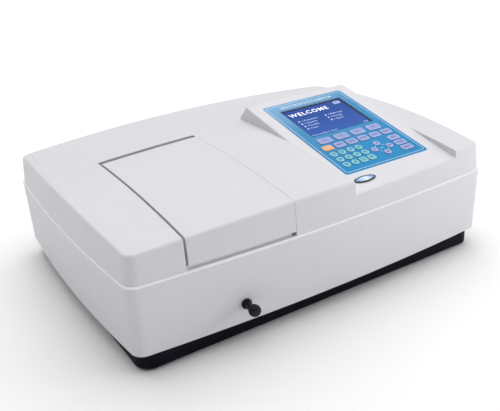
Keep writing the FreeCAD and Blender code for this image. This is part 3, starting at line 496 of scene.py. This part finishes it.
def text_mesh(bm, words, size, x, y, align="CENTER", bold=0.0, spacing=1.0):
    """Adds raised letters, centred on a point or starting there."""
    curve = bpy.data.curves.new("words", "FONT")
    curve.body = words
    curve.size = size
    curve.align_x = align
    curve.align_y = "CENTER"
    curve.extrude = PRINT_T / 2
    curve.offset = bold
    curve.space_character = spacing
    curve.resolution_u = 3
    holder = bpy.data.objects.new("words", curve)
    bpy.context.scene.collection.objects.link(holder)
    bpy.context.view_layer.update()
    graph = bpy.context.evaluated_depsgraph_get()
    mesh = bpy.data.meshes.new_from_object(holder.evaluated_get(graph))
    mesh.transform(Matrix.Translation((x, y, PRINT_T / 2)))
    bm.from_mesh(mesh)
    bpy.data.objects.remove(holder)
    bpy.data.meshes.remove(mesh)
    bpy.data.curves.remove(curve)


def printed_piece(name, bm, place, material, body):
    mesh = bm_to_mesh(bm, name)
    mesh.transform(place)
    return add_object(name, mesh, material, body)


KEY_WORDS = {
    "key_start": "START", "key_mode": "MODE", "key_setup": "SETUP", "key_store": "STORE",
    "key_recall": "LOAD", "key_print": "PRINT", "key_escape": "ESC", "key_clear": "CLEAR",
    "key_enter": "ENTER", "key_point": ".", "key_sign": "+/-",
}
ARROW_TURNS = {"key_up": 0, "key_left": 90, "key_down": 180, "key_right": 270}
ARROW_SIZE = 2.1 * MM
ARROW_NECK = 0.35
ARROW_NOTCH = 0.1

KEY_FLANGE = 1.0 * MM
KEY_CORNER = 2.6 * MM
RIM_MARGIN = 0.6 * MM
RIM_WIDTH = 1.0 * MM
RIM_INKS = {"key_lavender": INK_LILAC, "key_teal": INK_MINT, "key_orange": INK_PEACH}
LEGEND_INKS = {"key_lavender": INK_DARK, "key_teal": INK_GREEN, "key_orange": INK_WHITE}


def arrow_loop(size, turn):
    """Outline of an arrow that points up the slope before its turn."""
    neck, notch = ARROW_NECK * size, ARROW_NOTCH * size
    outline = [(0, size), (-size, -notch), (-neck, -notch), (-neck, -size),
               (neck, -size), (neck, -notch), (size, -notch)]
    angle = math.radians(turn)
    cosine, sine = math.cos(angle), math.sin(angle)
    return [(x * cosine - y * sine, x * sine + y * cosine) for x, y in outline]


def legend_size(words, round_key):
    """Letter height: large on the round keys, small for a long word."""
    if round_key:
        return 6.2 * MM
    return 4.2 * MM if len(words) > 3 else 5.2 * MM


def key_prints():
    """Each key's printed rim and its legend, which travel with the key."""
    for name in KEY_NAMES:
        x, along = centre_of(name)
        low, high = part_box(name)
        bottom, top = upslope_span(name)
        half_x = (high[0] - low[0]) / 2 - KEY_FLANGE
        half_y = (top - bottom) / 2 - KEY_FLANGE
        round_key = name.split("_")[1].isdigit() or name in ARROW_TURNS
        corner = half_x if round_key else KEY_CORNER
        outer = rounded_loop(half_x - RIM_MARGIN, half_y - RIM_MARGIN, corner)
        inset = RIM_MARGIN + RIM_WIDTH
        inner = rounded_loop(half_x - inset, half_y - inset, corner - RIM_WIDTH)
        place = console_matrix(x, along, height_of(name) + PRINT_BASE)
        body, slot = BODY_OF[name], SLOT_OF[name]
        rim = bmesh.new()
        ring_mesh(rim, outer, inner, 0, PRINT_T)
        printed_piece(name + "_rim", rim, place, RIM_INKS[slot], body)
        legend = bmesh.new()
        if name in ARROW_TURNS:
            slab_mesh(legend, arrow_loop(ARROW_SIZE, ARROW_TURNS[name]), 0, PRINT_T)
        else:
            words = KEY_WORDS.get(name, name.split("_")[1].upper())
            text_mesh(legend, words, legend_size(words, round_key), 0, 0, bold=0.06 * MM)
        printed_piece(name + "_legend", legend, place, LEGEND_INKS[slot], body)


BORDER_INSET = 4.2 * MM
BORDER_WIDTH = 0.8 * MM
BORDER_CORNER = 3.5 * MM
TITLE_SIZE = 8.6 * MM
TITLE_DROP = 13.6 * MM
LINK_GAP = 6.6 * MM
LINK_HALF_WIDTH = 0.35 * MM


def arrow_links(place, origin):
    """Lines that join the arrow keys, with a word at their middle."""
    names = ("key_up", "key_right", "key_down", "key_left")
    spots = [Vector(centre_of(name)) - origin for name in names]
    links = bmesh.new()
    for first, second in zip(spots, spots[1:] + spots[:1]):
        step = (second - first).normalized()
        side = Vector((-step.y, step.x)) * LINK_HALF_WIDTH
        start = first + step * LINK_GAP
        end = second - step * LINK_GAP
        loop = [start + side, start - side, end - side, end + side]
        slab_mesh(links, [tuple(p) for p in loop], 0, PRINT_T)
    middle = sum(spots, Vector((0, 0))) / len(spots)
    text_mesh(links, "SET", 4.0 * MM, middle.x, middle.y)
    printed_piece("arrow_links", links, place, INK_PALE, "housing")


def overlay_prints():
    """Border line, title and the links between the arrow keys."""
    low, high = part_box("keypad_overlay")
    bottom, top = upslope_span("keypad_overlay")
    x, along = (low[0] + high[0]) / 2, (top + bottom) / 2
    half_x, half_y = (high[0] - low[0]) / 2, (top - bottom) / 2
    place = console_matrix(x, along, height_of("keypad_overlay") + PRINT_BASE)
    border = bmesh.new()
    outer = rounded_loop(half_x - BORDER_INSET, half_y - BORDER_INSET, BORDER_CORNER)
    inset = BORDER_INSET + BORDER_WIDTH
    inner = rounded_loop(half_x - inset, half_y - inset, BORDER_CORNER - BORDER_WIDTH)
    ring_mesh(border, outer, inner, 0, PRINT_T)
    printed_piece("overlay_border", border, place, INK_PALE, "housing")
    title = bmesh.new()
    text_mesh(title, "SPECTROPHOTOMETER", TITLE_SIZE, 0, half_y - TITLE_DROP,
              bold=0.12 * MM, spacing=1.2)
    printed_piece("overlay_title", title, place, INK_WHITE, "housing")
    arrow_links(place, Vector((x, along)))


FACE_DEPTH = 0.2 * MM
HEADING_SIZE = 14.0 * MM
HEADING_LEFT = 8 * MM
HEADING_DROP = 18 * MM
SIGN_SIDE = 13 * MM
SIGN_DROP = 10 * MM
SIGN_LINE = 1 * MM
MENU_DROP = 39 * MM
MENU_PITCH = 8.4 * MM
MENU_INDENT = 5 * MM
DOT_RADIUS = 1.9 * MM
SMALL_TEXT = 4.6 * MM
FOOT_SIDE = 5 * MM
FOOT_RISE = 6.5 * MM
SURROUND_GAP = 0.1 * MM
SURROUND_WIDTH = 2.1 * MM
SURROUND_HEIGHT = 0.35 * MM


def display_face():
    """Half width, half height and placing matrix of the display's top face."""
    low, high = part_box("lcd_module")
    level = height_of("lcd_module")
    verts = [v.co for v in NODES["lcd_module"].data.vertices]
    face = [v for v in verts if v.dot(NORMAL) > level - FACE_DEPTH]
    rows = [v.dot(UPSLOPE) for v in face]
    columns = [v.x for v in face]
    middle = (max(rows) + min(rows)) / 2
    place = console_matrix((low[0] + high[0]) / 2, middle, level + PRINT_BASE)
    return (max(columns) - min(columns)) / 2, (max(rows) - min(rows)) / 2, place


def screen_heading(half_x, half_y, place):
    """Large heading and the frame of the unit sign."""
    bm = bmesh.new()
    text_mesh(bm, "WELCOME", HEADING_SIZE, HEADING_LEFT - half_x, half_y - HEADING_DROP,
              "LEFT", 0.22 * MM, 1.22)
    outer = rounded_loop(6 * MM, 3.4 * MM, 1 * MM)
    inner = rounded_loop(6 * MM - SIGN_LINE, 3.4 * MM - SIGN_LINE, 0.5 * MM)
    loops = [shift_loop(loop, half_x - SIGN_SIDE, half_y - SIGN_DROP) for loop in (outer, inner)]
    ring_mesh(bm, *loops, 0, PRINT_T)
    printed_piece("screen_heading", bm, place, LCD_PIXEL, "housing")


def screen_menu(half_x, half_y, place):
    """Unit sign, numbered menu in two columns and a foot line."""
    bm = bmesh.new()
    text_mesh(bm, "nm", SMALL_TEXT, half_x - SIGN_SIDE, half_y - SIGN_DROP, bold=0.1 * MM)
    menus = [(12 * MM - half_x, ["Photometry", "Quantity", "Kinetics", "Scan"]),
             (4 * MM, ["Multi wave", "Storage", "System"])]
    number = 1
    for column, words in menus:
        for i, word in enumerate(words):
            y = half_y - MENU_DROP - MENU_PITCH * i
            dot = rounded_loop(DOT_RADIUS, DOT_RADIUS, DOT_RADIUS)
            slab_mesh(bm, shift_loop(dot, column, y), 0, PRINT_T)
            entry = "%d %s" % (number, word)
            text_mesh(bm, entry, 5.6 * MM, column + MENU_INDENT, y, "LEFT", 0.05 * MM)
            number += 1
    foot = FOOT_RISE - half_y
    text_mesh(bm, "Press a number to choose", SMALL_TEXT, FOOT_SIDE - half_x, foot, "LEFT", 0.06 * MM)
    text_mesh(bm, "12:00", SMALL_TEXT, half_x - FOOT_SIDE, foot, "RIGHT", 0.06 * MM)
    printed_piece("screen_menu", bm, place, LCD_DIM, "housing")


def screen_surround(half_x, half_y, place):
    """Dark raised rim round the display."""
    rim = bmesh.new()
    outer = rounded_loop(half_x - SURROUND_GAP, half_y - SURROUND_GAP, 0.6 * MM)
    inset = SURROUND_GAP + SURROUND_WIDTH
    inner = rounded_loop(half_x - inset, half_y - inset, 0.4 * MM)
    ring_mesh(rim, outer, inner, 0, SURROUND_HEIGHT)
    printed_piece("screen_surround", rim, place, PAINT["connector_black"], "housing")


def screen_graphics():
    """Generic start menu on the display."""
    face = display_face()
    screen_heading(*face)
    screen_menu(*face)
    screen_surround(*face)


BADGE_RING_SIDE = 3.5 * MM
BADGE_RING_FRONT = 2.7 * MM
DOME_HEIGHT = 0.5 * MM
DOME_STEPS = 6
DOME_TURNS = 48


def badge_insert():
    """Domed oval inlay inside the badge's dark ring."""
    low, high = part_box("badge")
    bottom, top = upslope_span("badge")
    x, along = centre_of("badge")
    half_x = (high[0] - low[0]) / 2 - BADGE_RING_SIDE
    half_y = (top - bottom) / 2 - BADGE_RING_FRONT
    angles = [math.radians(360 * i / DOME_TURNS) for i in range(DOME_TURNS)]
    bm = bmesh.new()
    rings = []
    for k in range(DOME_STEPS):
        rise = math.radians(90 * k / DOME_STEPS)
        wide, deep = half_x * math.cos(rise), half_y * math.cos(rise)
        lift = DOME_HEIGHT * math.sin(rise)
        rings.append([bm.verts.new((wide * math.cos(a), deep * math.sin(a), lift)) for a in angles])
    skin_rings(bm, rings)
    place = console_matrix(x, along, height_of("badge") + 0.01 * MM)
    piece = printed_piece("badge_inlay", bm, place, BADGE_FACE, "housing")
    for polygon in piece.data.polygons:
        polygon.use_smooth = True


def rocker_faces():
    """Centre and normal of the rocker's lower and upper faces, seen from the back."""
    polygons = [p for p in NODES["power_switch"].data.polygons if p.normal.y > 0.8]
    middle = sum(p.center.z for p in polygons) / len(polygons)
    faces = []
    for upper in (False, True):
        side = [p for p in polygons if (p.center.z > middle) == upper]
        area = sum(p.area for p in side)
        centre = sum((p.center * p.area for p in side), Vector()) / area
        normal = sum((p.normal * p.area for p in side), Vector()).normalized()
        faces.append((centre, normal))
    return faces


MARK_RADIUS = 2.0 * MM
MARK_HOLE = 1.4 * MM


def rocker_marks():
    """A ring on the off side and a bar on the on side."""
    for name, (centre, normal) in zip(("switch_off_mark", "switch_on_mark"), rocker_faces()):
        columns = Matrix((-ACROSS, normal.cross(-ACROSS), normal)).transposed().to_4x4()
        columns.translation = centre + normal * PRINT_LIFT
        bm = bmesh.new()
        if name == "switch_off_mark":
            ring_mesh(bm, rounded_loop(MARK_RADIUS, MARK_RADIUS, MARK_RADIUS),
                      rounded_loop(MARK_HOLE, MARK_HOLE, MARK_HOLE), 0, PRINT_T)
        else:
            slab_mesh(bm, rounded_loop(0.35 * MM, 2.2 * MM, 0.2 * MM), 0, PRINT_T)
        printed_piece(name, bm, columns, INK_WHITE, BODY_OF["power_switch"])


PORT_HALF_WIDTH = 15.5 * MM
PORT_DEPTH = 6.0 * MM
PIN_RADIUS = 0.5 * MM
PIN_TIP = 0.4 * PIN_RADIUS
PIN_LENGTH = 4.6 * MM
PIN_PITCH = 2.77 * MM
PIN_ROW = 1.42 * MM
PIN_TURNS = 12


def serial_pins():
    """Nine contacts with tapered ends in the serial port's shell."""
    low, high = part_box("data_ports")
    x = high[0] - PORT_HALF_WIDTH
    z = (low[2] + high[2]) / 2
    profile = ((0, PIN_RADIUS), (PIN_LENGTH - PIN_RADIUS, PIN_RADIUS), (PIN_LENGTH, PIN_TIP))
    angles = [math.radians(360 * k / PIN_TURNS) for k in range(PIN_TURNS)]
    bm = bmesh.new()
    for count, row in ((5, z + PIN_ROW), (4, z - PIN_ROW)):
        for i in range(count):
            centre = x + PIN_PITCH * (i - (count - 1) / 2)
            rings = []
            for along, size in profile:
                y = high[1] - PORT_DEPTH + along
                circle = [(centre + size * math.cos(a), y, row + size * math.sin(a)) for a in angles]
                rings.append([bm.verts.new(point) for point in circle])
            skin_rings(bm, rings)
    add_object("serial_pins", bm_to_mesh(bm, "serial_pins"), PIN_GOLD, "housing")


CELL_COUNT = 4
CELL_PITCH = 18.0 * MM
FIRST_CELL = 14.0 * MM
NUMBER_SIZE = 7.0 * MM
NUMBER_SIDE = 10 * MM
DECK_STRIP = 4 * MM


def cell_numbers():
    """Numbers 1 to 4 beside the cell slots, from the one nearest the knob."""
    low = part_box("cell_carriage")[0]
    verts = [v.co for v in NODES["cell_carriage"].data.vertices]
    deck = max(v.z for v in verts if v.x < low[0] + DECK_STRIP)
    bm = bmesh.new()
    for i in range(CELL_COUNT):
        y = low[1] + FIRST_CELL + CELL_PITCH * i
        text_mesh(bm, str(i + 1), NUMBER_SIZE, low[0] + NUMBER_SIDE, y, bold=0.1 * MM)
    place = Matrix.Translation((0, 0, deck + PRINT_LIFT))
    printed_piece("cell_numbers", bm, place, INK_WHITE, BODY_OF["cell_carriage"])


# ---------------------------------------------------------------- stage

FLOOR_SIZE = 24
SWEEP_REACH = 6.0
# How bright the floor glows at each share of the sweep's reach
FLOOR_GLOW = ((0.06, 0.02), (0.16, 0.14), (0.5, 0.6), (1.0, 0.85))

SKY_TONE = (0.97, 0.97, 1.0, 1)
# The sky is bright at the horizon and dim above this height of a direction
SKY_BAND = 0.2
HORIZON_LIGHT = 0.95
OVERHEAD_LIGHT = 0.12

# Solved from the outline of the object in the photograph
VIEW_AZIMUTH = math.radians(-30.93)
VIEW_ELEVATION = math.radians(25.54)
VIEW_ROLL = math.radians(-3.058)
VIEW_DISTANCE = 1.2056
VIEW_OFFSET = Vector((-0.0021, 0.0042, -0.0316))
LENS = 52.96
SENSOR_WIDTH = 36.0
CLIP_START = 0.01


def floor_material():
    """Pale floor that glows more the further it lies from the object, as a lit sweep does."""
    m = Mat("studio_floor")
    tone = m.mottle(m.noise(1.5, 3.0, 0.5), (0.96, 0.96, 0.96), (0.98, 0.98, 0.98))
    distance = m.add("ShaderNodeVectorMath", operation="LENGTH")
    m.link(m.coords, distance.inputs[0])
    reach = m.math("DIVIDE", distance.outputs["Value"], SWEEP_REACH)
    glow = m.ramp(reach, [(place, (level, level, level)) for place, level in FLOOR_GLOW])
    m.link(glow, m.shader.inputs["Emission Color"])
    rough = spread(m, m.noise(8.0, 2.0, 0.5), 0.75, 0.85)
    return m.finish(tone, rough, None, Specular_IOR_Level=0.1, Emission_Strength=1.0)


def stage():
    """Floor under the object's lowest point."""
    bpy.ops.mesh.primitive_plane_add(size=FLOOR_SIZE, location=(0, 0, CAD_BOX[0][2]))
    floor = bpy.context.object
    floor.name = "studio_floor"
    floor.data.materials.append(floor_material())


def light(name, place, target, size, power):
    """Square area light that faces its target."""
    data = bpy.data.lights.new(name, "AREA")
    data.shape = "RECTANGLE"
    data.size = size
    data.size_y = size
    data.energy = power
    lamp = bpy.data.objects.new(name, data)
    lamp.location = place
    lamp.rotation_euler = (Vector(target) - Vector(place)).to_track_quat("-Z", "Y").to_euler()
    bpy.context.scene.collection.objects.link(lamp)


def sky():
    """World light that falls off above the horizon."""
    world = bpy.data.worlds.new("studio")
    bpy.context.scene.world = world
    world.use_nodes = True
    nodes, links = world.node_tree.nodes, world.node_tree.links
    background = nodes["Background"]
    background.inputs[0].default_value = SKY_TONE
    horizon = nodes.new("ShaderNodeMapRange")
    horizon.inputs["From Max"].default_value = SKY_BAND
    horizon.inputs["To Min"].default_value = HORIZON_LIGHT
    horizon.inputs["To Max"].default_value = OVERHEAD_LIGHT
    parts = nodes.new("ShaderNodeSeparateXYZ")
    coords = nodes.new("ShaderNodeTexCoord")
    links.new(coords.outputs["Generated"], parts.inputs[0])
    links.new(parts.outputs["Z"], horizon.inputs["Value"])
    links.new(horizon.outputs[0], background.inputs[1])


def lighting():
    """Wide soft light overhead, a small one at the right, and the sky."""
    sky()
    light("top_softbox", (0.4, 0.9, 2.6), (0.25, 0.7, 0), 5.0, 136)
    light("right_softbox", (1.3, -1.1, 0.45), (0.4, -0.1, 0.1), 0.7, 7)
    bpy.context.scene.view_settings.view_transform = "Standard"


def camera():
    """The photograph's viewpoint, given from the middle of the CAD box."""
    low, high = Vector(CAD_BOX[0]), Vector(CAD_BOX[1])
    target = (low + high) / 2 + VIEW_OFFSET
    level = math.cos(VIEW_ELEVATION)
    back = Vector((math.sin(VIEW_AZIMUTH) * level, -math.cos(VIEW_AZIMUTH) * level,
                   math.sin(VIEW_ELEVATION)))
    data = bpy.data.cameras.new("photo_view")
    data.lens = LENS
    data.sensor_width = SENSOR_WIDTH
    data.clip_start = CLIP_START
    view = bpy.data.objects.new("photo_view", data)
    roll = Matrix.Rotation(VIEW_ROLL, 4, "Z")
    turn = (-back).to_track_quat("-Z", "Y").to_matrix().to_4x4()
    view.matrix_world = Matrix.Translation(target + back * VIEW_DISTANCE) @ turn @ roll
    bpy.context.scene.collection.objects.link(view)
    bpy.context.scene.camera = view


dress_nodes()
key_prints()
overlay_prints()
screen_graphics()
badge_insert()
rocker_marks()
serial_pins()
cell_numbers()
stage()
lighting()
camera()
bpy.context.view_layer.update()
